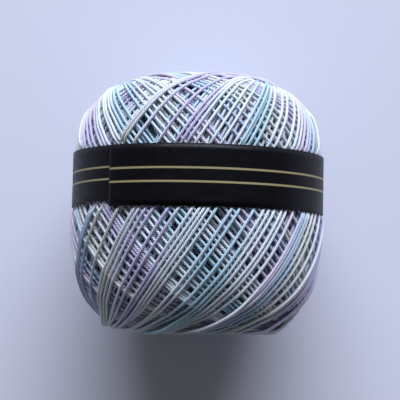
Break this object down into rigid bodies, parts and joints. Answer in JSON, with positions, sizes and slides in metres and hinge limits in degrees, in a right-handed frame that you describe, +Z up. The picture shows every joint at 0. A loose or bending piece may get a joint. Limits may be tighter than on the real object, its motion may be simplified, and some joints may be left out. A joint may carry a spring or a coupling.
{
  "type": "cross-wound ball of crochet cotton with a paper band",
  "caption": "Small barrel-shaped ball of fine crochet cotton wound in crossing diagonals, held by a plain paper band, lying on its side.",
  "frame": {"origin": "on the surface it lies on, under the middle of the ball's box", "axes": "+Z up, +Y along the winding axis towards the squarer end, +X to the right of a viewer above with +Y away"},
  "size_m": [0.0452, 0.0443, 0.0446],
  "materials": {
    "cotton_thread": "soft satin mercerised cotton, space-dyed in white, pale aqua, lavender and cream",
    "band_paper": "coated paper, satin black with thin pale gold rules"
  },
  "bodies": {
    "root": {"wound_ball": "cotton_thread", "paper_band": "band_paper"}
  },
  "joints": []
}
